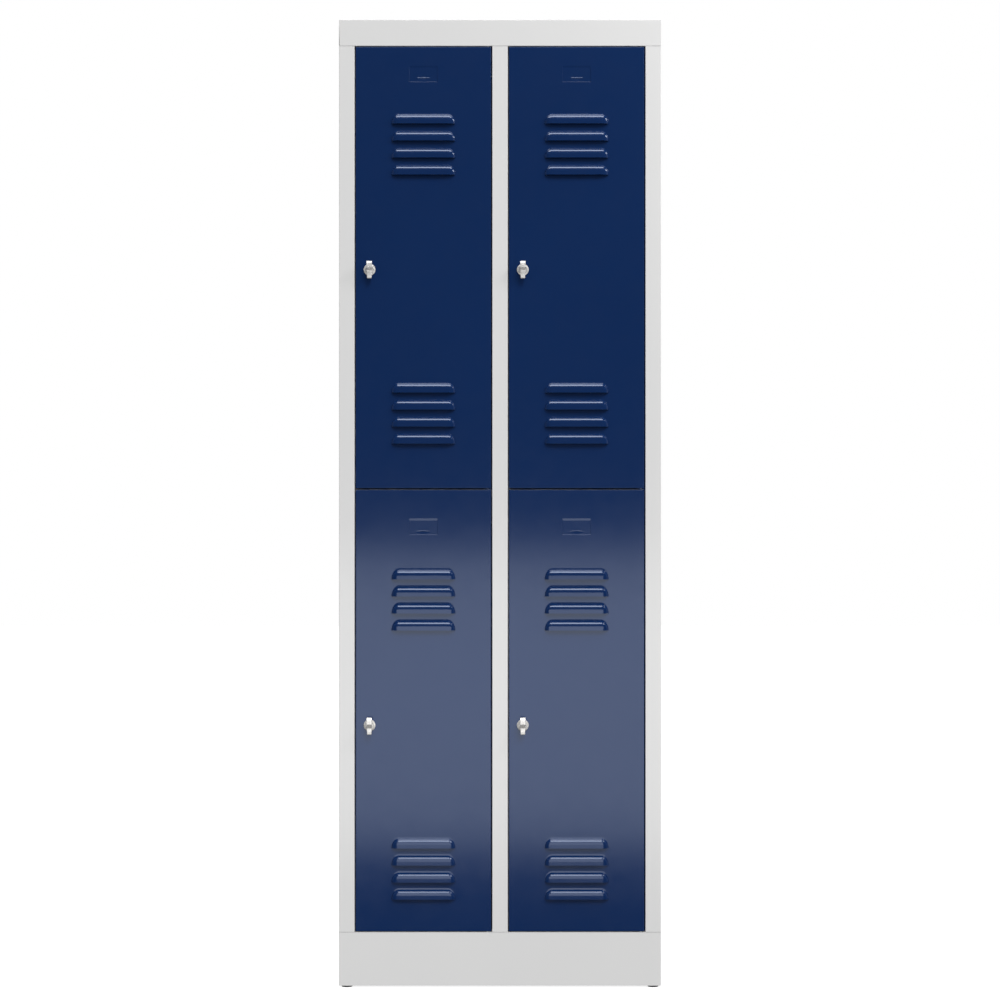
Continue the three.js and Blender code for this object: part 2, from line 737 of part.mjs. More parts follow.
// Features of a door whose bottom edge is at doorBottom, dropped by set distances from the upper pattern.
function featuresOf({ doorBottom, drop, labelDrop }) {
  const onDoor = (height) => height - drop - doorBottom;
  const louvres = UPPER_LOUVRE_GROUPS.flatMap((top) =>
    Array.from({ length: LOUVRES_PER_GROUP }, (_, i) => onDoor(top - i * LOUVRE_PITCH)),
  );
  return { louvres, label: UPPER_LABEL - labelDrop - doorBottom, latch: onDoor(UPPER_LATCH) };
}

// ---- Assembly -----------------------------------------------------------------------------

const cabinet = new THREE.Group();
cabinet.position.set(0, LATCH_PROUD - (DEPTH + LATCH_PROUD) / 2, GLIDE_HEIGHT);

cabinet.add(
  piece("left_side_panel", leftSidePanel(), grey),
  piece("right_side_panel", rightSidePanel(), grey),
  piece("centre_mullion", centreMullion(), grey),
  piece("centre_partition", centrePartition(), grey),
  piece("back_panel", backPanel(), grey),
  piece("roof_panel", roofPanel(), grey),
  piece("floor_panel", floorPanel(), grey),
  piece("plinth_frame", plinthFrame(), grey),
  piece("plinth_rear_rail", plinthRearRail(), grey),
);

for (const [name, place] of Object.entries(glidePlaces)) {
  cabinet.add(piece(`glide_${name}`, glide(place), black));
}

const lockerReach = WIDTH / 2 - SHEET - GAP;
const partitionReach = SHEET / 2 + GAP;
const columns = [
  { side: "left", centre: -COLUMN_CENTRE, span: [-lockerReach, -partitionReach], hinge: hingePlaces[0] },
  { side: "right", centre: COLUMN_CENTRE, span: [partitionReach, lockerReach], hinge: hingePlaces[1] },
];
const tiers = [
  { tier: "upper", ceiling: HEIGHT, doorBottom: UPPER_DOOR_BOTTOM, drop: 0, labelDrop: 0 },
  {
    tier: "lower",
    ceiling: MEETING_HEIGHT,
    doorBottom: LOWER_DOOR_BOTTOM,
    drop: LOWER_DOOR_DROP,
    labelDrop: LOWER_LABEL_DROP,
  },
];

for (const { side, centre, span, hinge } of columns) {
  cabinet.add(
    piece(`dividing_shelf_${side}`, dividingShelf(span), grey),
    piece(`hinge_pin_top_${side}`, endPin(hinge, OPENING_TOP, -1), zinc),
    piece(`hinge_pin_middle_${side}`, middlePin(hinge), zinc),
    piece(`hinge_pin_bottom_${side}`, endPin(hinge, OPENING_BOTTOM, 1), zinc),
    piece(`pivot_plate_${side}`, pivotPlate(hinge), blue),
  );
  for (const { tier, ceiling, ...features } of tiers) {
    const door = lockerDoor(`${tier}_${side}`, featuresOf(features));
    door.position.set(centre, 0, features.doorBottom);
    cabinet.add(door, piece(`coat_rail_${tier}_${side}`, coatRail(span, ceiling - RAIL_DROP), zinc));
  }
}

const locker = new THREE.Group();
locker.add(cabinet);

export default locker;
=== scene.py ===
"""Four-door steel locker cabinet: the looks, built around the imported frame.

Shapes are worked out in millimetres in the cabinet's own terms: x across, y the depth behind the
front face and z the height above the body's foot. place() turns them into the frame's metres.
"""

import json
import math

import bpy
from mathutils import Matrix, Vector

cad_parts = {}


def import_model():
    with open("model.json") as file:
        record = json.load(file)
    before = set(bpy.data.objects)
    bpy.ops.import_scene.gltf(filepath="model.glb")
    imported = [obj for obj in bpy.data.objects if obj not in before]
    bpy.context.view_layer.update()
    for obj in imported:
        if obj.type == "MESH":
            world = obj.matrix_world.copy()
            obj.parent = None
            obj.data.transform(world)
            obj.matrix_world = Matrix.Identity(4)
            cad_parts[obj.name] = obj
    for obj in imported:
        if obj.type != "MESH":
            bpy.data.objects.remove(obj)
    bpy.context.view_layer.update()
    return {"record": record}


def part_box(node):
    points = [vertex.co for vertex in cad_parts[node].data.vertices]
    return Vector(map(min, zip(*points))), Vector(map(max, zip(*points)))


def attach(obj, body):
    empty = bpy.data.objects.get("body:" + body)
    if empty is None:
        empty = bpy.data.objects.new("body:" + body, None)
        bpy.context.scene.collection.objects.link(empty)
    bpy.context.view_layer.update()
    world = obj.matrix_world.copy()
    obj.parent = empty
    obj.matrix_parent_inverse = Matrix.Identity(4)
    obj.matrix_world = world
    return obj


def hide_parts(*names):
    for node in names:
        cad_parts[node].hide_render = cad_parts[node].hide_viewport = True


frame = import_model()

MM = 0.001
BODY_OF = {n: b for b, nodes in frame["record"]["behaviour"]["bodies"].items() for n in nodes}

# ---- Driving dimensions, in millimetres ----------------------------------------------------

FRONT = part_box("roof_panel")[0].y / MM
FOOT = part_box("plinth_frame")[0].z / MM
WIDTH = (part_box("roof_panel")[1].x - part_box("roof_panel")[0].x) / MM
DEPTH = (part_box("roof_panel")[1].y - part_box("roof_panel")[0].y) / MM
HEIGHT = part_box("roof_panel")[1].z / MM - FOOT

SHEET = 1.0
BEND = 1.2
BEND_STEPS = 6
DOOR_BEND = 1.1
DOOR_END_BEND = 0.6
ROOF_BEND = 0.9
DOOR_DEPTH = 18.0
DOOR_LIP = 10.0
STILE = 29.0
FRAME_RETURN = 18.0
STOP_LIP = 6.0
LIP_FACE = 18.6
REAR_FLANGE = 25.0
FASCIA = (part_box("roof_panel")[1].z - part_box("roof_panel")[0].z) / MM

LOUVRE_WIDTH = 119.0
LOUVRE_CORNER = 14.0
LOUVRE_PROUD = 7.0
LOUVRE_HEIGHT = 20.4
LOUVRE_PITCH = 31.7
LOUVRE_FACE = 6.6
LOUVRES_PER_GROUP = 4

LABEL_WIDTH = 54.0
LABEL_HEIGHT = 32.0
LABEL_RECESS = 0.6
LABEL_SLOPE = 3.9
LABEL_EDGE = 0.5
LABEL_MARGIN = 0.08
LABEL_INSET = 0.5
LABEL_SILL = 1.5
SCOOP_WIDTH = 28.0
SCOOP_HEIGHT = 5.0
SCOOP_DEPTH = 0.5
SCOOP_TOP = 8.6
SCOOP_LIP = 0.36
SCOOP_LIP_RISE = 9.4
SCOOP_LIP_REACH = 0.75
SCOOP_LIP_INSET = 2.5
SCOOP_LIP_FADE = 2.0
SCOOP_BOW = 1.3

# Heights of the features on the upper doors, above the body's foot; the lower doors repeat them lower down.
UPPER_LABEL = 1698.5
UPPER_LOUVRE_GROUPS = (1605.8, 1105.0)
LOWER_DOOR_DROP = 848.7
LOWER_LABEL_DROP = 844.0


def place(x, y, z):
    """A point in the cabinet's millimetres, as a point of the frame in metres."""
    return Vector((x * MM, (FRONT + y) * MM, (FOOT + z) * MM))


def cabinet_box(node):
    """A CAD node's box in the cabinet's millimetres: (x0, x1), (y0, y1), (z0, z1)."""
    low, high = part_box(node)
    return (
        (low.x / MM, high.x / MM),
        (low.y / MM - FRONT, high.y / MM - FRONT),
        (low.z / MM - FOOT, high.z / MM - FOOT),
    )


# ---- Mesh helpers --------------------------------------------------------------------------


def mesh_object(name, verts, faces):
    mesh = bpy.data.meshes.new(name)
    mesh.from_pydata([place(*v) for v in verts], [], faces)
    mesh.validate()
    obj = bpy.data.objects.new(name, mesh)
    bpy.context.scene.collection.objects.link(obj)
    return obj


def apply_modifiers(obj):
    depsgraph = bpy.context.evaluated_depsgraph_get()
    mesh = bpy.data.meshes.new_from_object(obj.evaluated_get(depsgraph), depsgraph=depsgraph)
    obj.modifiers.clear()
    obj.data = mesh
    mesh.name = obj.name
    return mesh


def settle(obj, smooth_degrees=32):
    """Applies the modifiers, shades smooth up to an angle and keeps the flat faces flat."""
    mesh = apply_modifiers(obj)
    mesh.polygons.foreach_set("use_smooth", [True] * len(mesh.polygons))
    mesh.set_sharp_from_angle(angle=math.radians(smooth_degrees))
    weighted = obj.modifiers.new("flat_faces", "WEIGHTED_NORMAL")
    weighted.keep_sharp = True
    weighted.weight = 60
    apply_modifiers(obj)


def show(name, node, shape, material, thickness=0.0, bevel=0.0):
    """Makes a piece that stands for a CAD node, rides on its body and takes its slot."""
    obj = mesh_object(name, *shape)
    weld = obj.modifiers.new("weld", "WELD")
    weld.merge_threshold = 0.002 * MM
    if thickness:
        solidify = obj.modifiers.new("thickness", "SOLIDIFY")
        solidify.thickness = thickness * MM
        solidify.offset = -1
    if bevel:
        rounding = obj.modifiers.new("rounding", "BEVEL")
        rounding.width = bevel * MM
        rounding.segments = 2
        rounding.limit_method = "ANGLE"
        rounding.angle_limit = math.radians(40)
        rounding.harden_normals = False
    settle(obj)
    obj.data.materials.clear()
    obj.data.materials.append(material)
    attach(obj, BODY_OF[node])
    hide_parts(node)
    return obj


def together(*shapes):
    verts, faces = [], []
    for shape_verts, shape_faces in shapes:
        start = len(verts)
        verts += shape_verts
        faces += [[start + i for i in face] for face in shape_faces]
    return verts, faces


def prism(outline, span, point):
    """A closed outline carried along span; point(u, v, w) gives the vertex for outline (u, v) at w."""
    n = len(outline)
    verts = [point(u, v, w) for w in span for u, v in outline]
    sides = [[i, (i + 1) % n, n + (i + 1) % n, n + i] for i in range(n)]
    return verts, sides + [list(range(n))[::-1], [n + i for i in range(n)]]


def upright(outline, span):
    return prism(outline, span, lambda u, v, w: (u, v, w))


def across(outline, span):
    return prism(outline, span, lambda u, v, w: (w, u, v))


def box_shape(xs, ys, zs):
    outline = [(xs[0], ys[0]), (xs[1], ys[0]), (xs[1], ys[1]), (xs[0], ys[1])]
    return upright(outline, zs)


def rounded_path(points, radius, steps=BEND_STEPS):
    """A polyline with each inner corner turned into an arc."""
    corners = [Vector(p) for p in points]
    path = [corners[0]]
    for before, corner, after in zip(corners, corners[1:], corners[2:]):
        back = (before - corner).normalized()
        on = (after - corner).normalized()
        half = back.angle(on) / 2
        centre = corner + (back + on).normalized() * (radius / math.sin(half))
        start = corner + back * (radius / math.tan(half)) - centre
        turn = (math.pi - 2 * half) * (-1 if back.cross(on) > 0 else 1)
        path += [centre + Matrix.Rotation(turn * k / steps, 2) @ start for k in range(steps + 1)]
    return path + [corners[-1]]


def folded(points, thickness=SHEET, radius=BEND):
    """Outline of sheet bent along a path of its outer face, the metal lying to the path's right."""
    outer = rounded_path(points, radius)
    inner = []
    for i, point in enumerate(outer):
        into = (point - outer[i - 1]) if i else (outer[1] - point)
        out = (outer[i + 1] - point) if i < len(outer) - 1 else into
        into, out = into.normalized(), out.normalized()
        normal = Vector((into.y, -into.x))
        mitre = (normal + Vector((out.y, -out.x))).normalized()
        inner.append(point + mitre * (thickness / mitre.dot(normal)))
    loop = [tuple(p) for p in outer] + [tuple(p) for p in reversed(inner)]
    area = sum(a[0] * b[1] - b[0] * a[1] for a, b in zip(loop, loop[1:] + loop[:1]))
    return loop if area > 0 else loop[::-1]


def turned(profile, point, segments=40, closed=False):
    """A profile of (radius, height) turned about its axis; point(a, b, h) places it."""
    verts, faces, rings = [], [], []
    for radius, height in profile:
        if radius < 1e-6:
            rings.append([len(verts)])
            verts.append(point(0, 0, height))
            continue
        rings.append(list(range(len(verts), len(verts) + segments)))
        for k in range(segments):
            angle = 2 * math.pi * k / segments
            verts.append(point(radius * math.cos(angle), radius * math.sin(angle), height))
    pairs = list(zip(rings, rings[1:])) + ([(rings[-1], rings[0])] if closed else [])
    for low, high in pairs:
        for k in range(segments):
            a, b = low[k % len(low)], low[(k + 1) % len(low)]
            c, d = high[(k + 1) % len(high)], high[k % len(high)]
            face = list(dict.fromkeys([a, b, c, d]))
            if len(face) > 2:
                faces.append(face)
    return verts, faces


def softened(profile, radius, steps=3, closed=False):
    """A turning profile with its corners rounded a little."""
    if closed:
        profile = [profile[-1]] + profile + [profile[0]]
    points = [Vector(p) for p in profile]
    out = [] if closed else [points[0]]
    for before, corner, after in zip(points, points[1:], points[2:]):
        room = 0.45 * min((before - corner).length, (after - corner).length)
        back, on = (before - corner).normalized(), (after - corner).normalized()
        half = back.angle(on, 0) / 2
        if half < 0.05 or half > 1.52:
            out.append(corner)
            continue
        r = min(radius, room * math.tan(half))
        centre = corner + (back + on).normalized() * (r / math.sin(half))
        start = corner + back * (r / math.tan(half)) - centre
        turn = (math.pi - 2 * half) * (-1 if back.cross(on) > 0 else 1)
        out += [centre + Matrix.Rotation(turn * k / steps, 2) @ start for k in range(steps + 1)]
    if not closed:
        out.append(points[-1])
    return [tuple(p) for p in out]


def plate(loops, near, far, bevel, point):
    """A flat plate with holes, softly bevelled; loops are (u, v) with holes running clockwise."""
    curve = bpy.data.curves.new("outline", "CURVE")
    curve.dimensions = "2D"
    curve.fill_mode = "BOTH"
    curve.extrude = abs(far - near) / 2 - bevel
    curve.bevel_depth = bevel
    curve.bevel_resolution = 2
    curve.offset = -bevel
    for loop in loops:
        spline = curve.splines.new("POLY")
        spline.points.add(len(loop) - 1)
        spline.use_cyclic_u = True
        for target, (u, v) in zip(spline.points, loop):
            target.co = (u, v, 0, 1)
    holder = bpy.data.objects.new("outline", curve)
    bpy.context.scene.collection.objects.link(holder)
    depsgraph = bpy.context.evaluated_depsgraph_get()
    mesh = bpy.data.meshes.new_from_object(holder.evaluated_get(depsgraph), depsgraph=depsgraph)
    middle = (near + far) / 2
    verts = [point(v.co.x, v.co.y, v.co.z + middle) for v in mesh.vertices]
    faces = [list(p.vertices) for p in mesh.polygons]
    bpy.data.objects.remove(holder)
    bpy.data.curves.remove(curve)
    bpy.data.meshes.remove(mesh)
    return verts, faces


def circle(cx, cy, radius, steps=32, clockwise=False):
    sign = -1 if clockwise else 1
    turns = [sign * 2 * math.pi * k / steps for k in range(steps)]
    return [(cx + radius * math.cos(t), cy + radius * math.sin(t)) for t in turns]


# ---- Materials -----------------------------------------------------------------------------


class Nodes:
    """Short ways to add and join shader nodes of one material."""

    def __init__(self, name):
        self.material = bpy.data.materials.new(name)
        self.material.use_nodes = True
        self.tree = self.material.node_tree
        self.shader = self.tree.nodes["Principled BSDF"]
        self.coords = self.tree.nodes.new("ShaderNodeTexCoord").outputs["Object"]

    def link(self, output, socket):
        self.tree.links.new(output, socket)

    def noise(self, scale, detail=3.0, roughness=0.5, stretch=(1, 1, 1)):
        mapping = self.tree.nodes.new("ShaderNodeMapping")
        mapping.inputs["Scale"].default_value = stretch
        self.link(self.coords, mapping.inputs["Vector"])
        noise = self.tree.nodes.new("ShaderNodeTexNoise")
        noise.inputs["Scale"].default_value = scale
        noise.inputs["Detail"].default_value = detail
        noise.inputs["Roughness"].default_value = roughness
        self.link(mapping.outputs["Vector"], noise.inputs["Vector"])
        return noise.outputs["Fac"]

    def ranged(self, value, low, high, source=(0.3, 0.7)):
        spread = self.tree.nodes.new("ShaderNodeMapRange")
        spread.inputs["From Min"].default_value = source[0]
        spread.inputs["From Max"].default_value = source[1]
        spread.inputs["To Min"].default_value = low
        spread.inputs["To Max"].default_value = high
        self.link(value, spread.inputs["Value"])
        return spread.outputs["Result"]

    def blended(self, value, first, second):
        mix = self.tree.nodes.new("ShaderNodeMix")
        mix.data_type = "RGBA"
        mix.inputs["A"].default_value = (*first, 1)
        mix.inputs["B"].default_value = (*second, 1)
        self.link(value, mix.inputs["Factor"])
        return mix.outputs["Result"]

    def bump(self, height, distance, strength, under=None):
        bump = self.tree.nodes.new("ShaderNodeBump")
        bump.inputs["Distance"].default_value = distance
        bump.inputs["Strength"].default_value = strength
        self.link(height, bump.inputs["Height"])
        if under:
            self.link(under, bump.inputs["Normal"])
        return bump.outputs["Normal"]


def powder_coat(name, colour, cast, roughness, specular, tint=(1, 1, 1)):
    """Semi-gloss powder coat: orange peel, a faint drift of tone and a patchy sheen."""
    n = Nodes(name)
    drift = n.ranged(n.noise(2.2, 4), 0, 1)
    n.link(n.blended(drift, colour, cast), n.shader.inputs["Base Color"])
    n.link(n.ranged(n.noise(35, 3), *roughness), n.shader.inputs["Roughness"])
    peel = n.bump(n.noise(620, 2), 0.00005, 0.35)
    grain = n.bump(n.noise(2600, 1), 0.00002, 0.25, under=peel)
    n.link(grain, n.shader.inputs["Normal"])
    n.shader.inputs["Specular IOR Level"].default_value = specular
    n.shader.inputs["Specular Tint"].default_value = (*tint, 1)
    return n.material


def plated(name, colour, shade, roughness, metallic, stretch=(1, 1, 1)):
    """Plated metal with a faint grain and uneven sheen."""
    n = Nodes(name)
    n.link(n.blended(n.ranged(n.noise(60, 4), 0, 1), colour, shade), n.shader.inputs["Base Color"])
    n.link(n.ranged(n.noise(240, 4, stretch=stretch), *roughness), n.shader.inputs["Roughness"])
    n.link(n.bump(n.noise(1400, 2, stretch=stretch), 0.00002, 0.3), n.shader.inputs["Normal"])
    n.shader.inputs["Metallic"].default_value = metallic
    return n.material


def moulded(name, colour, shade, roughness):
    """Moulded plastic with a fine spark-eroded grain."""
    n = Nodes(name)
    n.link(n.blended(n.ranged(n.noise(90, 3), 0, 1), colour, shade), n.shader.inputs["Base Color"])
    n.link(n.ranged(n.noise(400, 2), *roughness), n.shader.inputs["Roughness"])
    n.link(n.bump(n.noise(2200, 2), 0.00004, 0.4), n.shader.inputs["Normal"])
    return n.material


GREY = powder_coat("grey_powder_coat", (0.665, 0.665, 0.662), (0.648, 0.648, 0.648), (0.17, 0.21), 0.45)
BLUE = powder_coat(
    "blue_powder_coat",
    (0.0046, 0.0215, 0.088),
    (0.0042, 0.0196, 0.081),
    (0.145, 0.175),
    0.6,
    (0.75, 0.84, 1.0),
)
LATCH_METAL = plated("satin_nickel", (0.76, 0.745, 0.72), (0.66, 0.65, 0.635), (0.2, 0.3), 0.25)
RAIL_METAL = plated("bright_tube", (0.72, 0.73, 0.74), (0.66, 0.67, 0.68), (0.12, 0.2), 1.0, (1, 8, 8))
ZINC = plated("zinc_plate", (0.46, 0.47, 0.49), (0.38, 0.40, 0.42), (0.3, 0.45), 0.8)
NYLON = moulded("natural_nylon", (0.74, 0.72, 0.66), (0.70, 0.68, 0.62), (0.4, 0.5))
BLACK = moulded("black_plastic", (0.018, 0.018, 0.019), (0.026, 0.026, 0.027), (0.45, 0.6))

# ---- Trays: doors and roof -----------------------------------------------------------------


def edge_stations(radius, depth, lip):
    """(inset from the edge, depth) round a tray's bend, down its return and along its lip."""
    arc = [k * math.pi / 2 / BEND_STEPS for k in range(1, BEND_STEPS + 1)]
    stations = [(radius * (1 - math.sin(a)), radius * (1 - math.cos(a))) for a in arc]
    if not lip:
        return stations + [(0.0, depth)]
    stations += [(BEND * (1 - math.cos(a)), depth - BEND * (1 - math.sin(a))) for a in [0.0] + arc]
    return stations + [(lip, depth)]


def stations_across(low, high, inner, radius, depth, lips):
    """(position, depth) stations from the end of one return, over the face, to the end of the other."""
    first = [(low + i, d) for i, d in edge_stations(radius, depth, lips[0])][::-1]
    last = [(high - i, d) for i, d in edge_stations(radius, depth, lips[1])]
    flat_ends = {low + radius, high - radius}
    face = sorted({round(p, 3) for p in inner if low + radius < p < high - radius} | flat_ends)
    return first + [(p, 0.0) for p in face] + last


def tray(columns, rows, radii, depth, point, relief=None):
    """Outer skin of a folded tray. columns are (s, depth); rows are (row, depth), where row is a
    position or a callable giving the position at s. Rows marked as cut leave a slot below them."""
    verts, faces = [], []
    for row, b in rows:
        for s, a in columns:
            t = row(s) if callable(row) else row
            w = a + b - a * b / depth
            if relief and a == 0 and b == 0:
                w += relief(s, t, row)
            verts.append(point(s, t, w))
    count = len(columns)
    for j in range(len(rows) - 1):
        b = max(rows[j][1], rows[j + 1][1])
        if getattr(rows[j + 1][0], "cut", False):
            continue
        for i in range(count - 1):
            a = max(columns[i][1], columns[i + 1][1])
            in_lip = min(columns[i][1], columns[i + 1][1]) > depth - BEND - 0.01
            if (a > radii[0] + 0.01 and b > radii[1] + 0.01) or (in_lip and b > 0):
                continue
            faces.append([j * count + i, j * count + i + 1, (j + 1) * count + i + 1, (j + 1) * count + i])
    return verts, faces


# ---- Louvres and label pockets -------------------------------------------------------------


def arc_points(start, lean_from, lean_to, radius, steps):
    """Points after start along an arc whose backward lean turns from one angle to another."""
    first, last = math.radians(lean_from), math.radians(lean_to)
    points = []
    for k in range(1, steps + 1):
        lean = first + (last - first) * k / steps
        up = radius * abs(math.sin(lean) - math.sin(first))
        back = radius * abs(math.cos(first) - math.cos(lean))
        points.append((start[0] + up, start[1] - back))
    return points


def louvre_profile():
    """Section of a hood from its lip to its root: face, shoulder, steep back and shallow apron."""
    steep = 54
    apron = ((steep, 12, 0.5, 4), (12, 3, 18.0, 5))
    points = [(0.0, LOUVRE_PROUD), (LOUVRE_FACE, LOUVRE_PROUD - 0.05)]
    for bend in ((0.5, 13, 25.0, 6), (13, 34, 1.0, 5), (34, 37, 52.0, 3), (37, steep, 1.5, 4)):
        points += arc_points(points[-1], *bend)
    root = sum(
        radius * (math.cos(math.radians(end)) - math.cos(math.radians(start)))
        for start, end, radius, _ in apron
    )
    fall = points[-1][1] - root
    points.append((points[-1][0] + fall / math.tan(math.radians(steep)), root))
    for bend in apron:
        points += arc_points(points[-1], *bend)
    return points


PROFILE = louvre_profile()
LEAST_SPREAD = 0.18
EASE = 0.6


def hood_share(x):
    """How tall and proud a hood is at x, as a share of its middle: quarter ellipses at the ends."""
    flat = LOUVRE_WIDTH / 2 - LOUVRE_CORNER
    out = (abs(x) - flat) / LOUVRE_CORNER
    return 1.0 if out <= 0 else math.sqrt(max(0.0, 1 - out * out))


def proud_at(rise):
    """Proud of the middle profile at a height above the lip."""
    for (z0, p0), (z1, p1) in zip(PROFILE, PROFILE[1:]):
        if rise <= z1:
            return p0 + (p1 - p0) * max(0.0, rise - z0) / (z1 - z0)
    return 0.0


class HoodRow:
    """A row of the door's grid that follows a louvre's hood, rise being its height in the middle."""

    def __init__(self, lip, rise, cut=False):
        self.lip, self.rise, self.cut = lip, rise, cut

    def __call__(self, x):
        return self.lip + self.rise * max(hood_share(x), LEAST_SPREAD)

    def proud(self, x):
        share = hood_share(x)
        if share < 1e-6:
            return 0.0
        return share * proud_at(self.rise * max(share, LEAST_SPREAD) / share)


def label_depth(x, z, centre):
    """Depth of the label pocket at a point: a soft head, crisp sides and sill, the scoop and its lip."""
    def eased(distance, width):
        share = min(max(distance / width, 0.0), 1.0)
        return share * share * (3 - 2 * share)

    foot, head = centre - LABEL_HEIGHT / 2, centre + LABEL_HEIGHT / 2
    sides = eased(LABEL_WIDTH / 2 - LABEL_INSET - abs(x), LABEL_EDGE)
    pocket = sides * eased(z - foot - LABEL_SILL, LABEL_EDGE) * eased(head - z, LABEL_SLOPE)
    below = foot + SCOOP_TOP - z
    moon = 1 - math.hypot(x / (SCOOP_WIDTH / 2), below / SCOOP_HEIGHT)
    scoop = max(moon, 0.0) ** SCOOP_BOW if below >= 0 else 0.0
    across = eased(SCOOP_WIDTH / 2 - SCOOP_LIP_INSET - abs(x), SCOOP_LIP_FADE)
    near = min(abs(z - foot - SCOOP_LIP_RISE) / SCOOP_LIP_REACH, 1.0)
    lip = across * math.cos(math.pi / 2 * near) ** 2
    return LABEL_RECESS * pocket + SCOOP_DEPTH * scoop - SCOOP_LIP * lip


def spaced(low, high, count):
    return [low + (high - low) * k / count for k in range(count + 1)]


def door_columns(half):
    flat = LOUVRE_WIDTH / 2 - LOUVRE_CORNER
    ends = [flat + LOUVRE_CORNER * math.sin(math.pi / 2 * k / 9) for k in range(10)]
    side = LABEL_WIDTH / 2 - LABEL_INSET
    rim = [side - LABEL_EDGE - LABEL_MARGIN] + spaced(side - LABEL_EDGE, side, 4) + [side + LABEL_MARGIN]
    ends.append(LOUVRE_WIDTH / 2 + EASE)
    inner = [sign * x for x in ends + rim for sign in (-1, 1)]
    inner += spaced(-SCOOP_WIDTH / 2, SCOOP_WIDTH / 2, 24)
    return stations_across(-half, half, inner, DOOR_BEND, DOOR_DEPTH, (DOOR_LIP, DOOR_LIP))


def door_rows(height, louvres, label):
    """Rows from the foot of the door to its head, in the door's own heights."""
    bottom, top = label - LABEL_HEIGHT / 2, label + LABEL_HEIGHT / 2
    sill = bottom + LABEL_SILL
    flat = [sill - LABEL_MARGIN] + spaced(sill, sill + LABEL_EDGE, 4) + [sill + LABEL_EDGE + LABEL_MARGIN]
    flat += spaced(bottom + SCOOP_TOP - SCOOP_HEIGHT, bottom + SCOOP_TOP, 8) + [bottom + SCOOP_TOP + 0.35]
    scoop_lip = bottom + SCOOP_LIP_RISE
    flat += spaced(scoop_lip - SCOOP_LIP_REACH, scoop_lip + SCOOP_LIP_REACH, 8)
    flat += spaced(top - LABEL_SLOPE, top, 7) + [top + EASE]
    flat += [height * k / 12 for k in range(1, 12)]
    clear = [z for z in flat if all(not -3 < z - lip < LOUVRE_HEIGHT + 3 for lip in louvres)]
    clear += [lip - EASE for lip in louvres]
    rows = stations_across(0, height, clear, DOOR_END_BEND, DOOR_DEPTH, (0, 0))
    for lip in louvres:
        band = [(lip, 0.0), (HoodRow(lip, 0.0, cut=True), 0.0)]
        band += [(HoodRow(lip, rise), 0.0) for rise, _ in PROFILE[1:]]
        band += [(lip + LOUVRE_HEIGHT + EASE, 0.0)]
        at = next(i for i, (z, d) in enumerate(rows) if d == 0 and not callable(z) and z > lip)
        rows[at:at] = band
    return rows


def door_skin(centre, foot, height, louvres, label):
    def relief(x, z, row):
        if isinstance(row, HoodRow):
            return -row.proud(x)
        return label_depth(x, z, label)

    half = DOOR_WIDTH / 2
    rows = door_rows(height, louvres, label)
    return tray(
        door_columns(half),
        rows,
        (DOOR_BEND, DOOR_END_BEND),
        DOOR_DEPTH,
        lambda s, t, w: (centre + s, w, foot + t),
        relief,
    )


# ---- Body ----------------------------------------------------------------------------------


def frame_span(node):
    return cabinet_box(node)[2]


def left_side_panel():
    side, face = -WIDTH / 2, -WIDTH / 2 + STILE
    plan = folded([
        (face + STOP_LIP, LIP_FACE),
        (face, LIP_FACE),
        (face, 0),
        (side, 0),
        (side, DEPTH),
        (side + REAR_FLANGE, DEPTH),
    ])
    return upright(plan, frame_span("left_side_panel"))


def right_side_panel():
    side = WIDTH / 2
    plan = folded([
        (side - REAR_FLANGE, DEPTH),
        (side, DEPTH),
        (side, 0),
        (side - STILE, 0),
        (side - STILE, FRAME_RETURN),
    ])
    return upright(plan, frame_span("right_side_panel"))


def centre_mullion():
    half = STILE / 2
    plan = folded([
        (half + STOP_LIP, LIP_FACE),
        (half, LIP_FACE),
        (half, 0),
        (-half, 0),
        (-half, FRAME_RETURN),
    ])
    return upright(plan, frame_span("centre_mullion"))


def centre_partition():
    (x0, x1), (y0, y1), span = cabinet_box("centre_partition")
    return upright(folded([(x0, y0), (x0, y1), (x1, y1)]), span)


def back_panel():
    return box_shape(*cabinet_box("back_panel"))


def roof_panel():
    half = WIDTH / 2
    columns = stations_across(0, DEPTH, [DEPTH / 2], ROOF_BEND, FASCIA, (FRAME_RETURN, 0))
    rows = stations_across(-half, half, [0], ROOF_BEND, FASCIA, (0, 0))
    return tray(columns, rows, (ROOF_BEND, ROOF_BEND), FASCIA, lambda s, t, w: (-t, s, HEIGHT - w))


def floor_panel():
    (x0, x1), (y0, y1), (z0, z1) = cabinet_box("floor_panel")
    fold_face, fold_ends = x1 - SHEET - 0.3, (y0 + 30, y1 - 30)
    folds = [
        box_shape(xs, fold_ends, (z0, z1 - SHEET / 2))
        for xs in ((-fold_face, -fold_face + SHEET), (fold_face - SHEET, fold_face))
    ]
    return together(box_shape((x0, x1), (y0, y1), (z1 - SHEET, z1)), *folds)


def plinth_frame():
    (x0, x1), (y0, y1), (z0, z1) = cabinet_box("plinth_frame")
    lip = 25.0
    plan = folded([(x1, y1), (x1, y0), (x0, y0), (x0, y1)])
    lips = [
        box_shape((x0 + SHEET / 2, x1 - SHEET / 2), (SHEET / 2, lip), (z0, z0 + SHEET)),
        box_shape((x0 + SHEET / 2, x0 + lip), (lip, y1 - lip), (z0, z0 + SHEET)),
        box_shape((x1 - lip, x1 - SHEET / 2), (lip, y1 - lip), (z0, z0 + SHEET)),
    ]
    return together(upright(plan, (z0, z1)), *lips)


def plinth_rear_rail():
    xs, (y0, y1), (z0, z1) = cabinet_box("plinth_rear_rail")
    return across(folded([(y0, z1), (y1, z1), (y1, z0), (y0, z0)]), xs)


